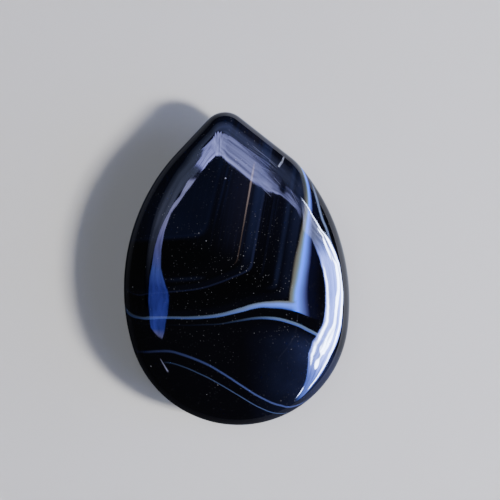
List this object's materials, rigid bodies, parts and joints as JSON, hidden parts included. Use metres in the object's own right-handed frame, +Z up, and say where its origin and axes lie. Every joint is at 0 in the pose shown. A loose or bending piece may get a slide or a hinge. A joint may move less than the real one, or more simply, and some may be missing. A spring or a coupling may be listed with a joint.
{
  "type": "polished onyx teardrop",
  "caption": "Polished onyx stone cut to a teardrop outline, domed on both sides, with a small flat spot underneath to rest on.",
  "frame": {"origin": "middle of the outline's bounding box, on the plane the stone rests on", "axes": "+Z up out of the domed show face, +Y along the length towards the tip, +X to the right seen from above"},
  "size_m": [0.0252, 0.035, 0.0079],
  "materials": {
    "onyx": "polished near-black onyx with thin pale blue-white and tan bands"
  },
  "bodies": {
    "root": {"onyx_teardrop": "onyx"}
  },
  "joints": []
}
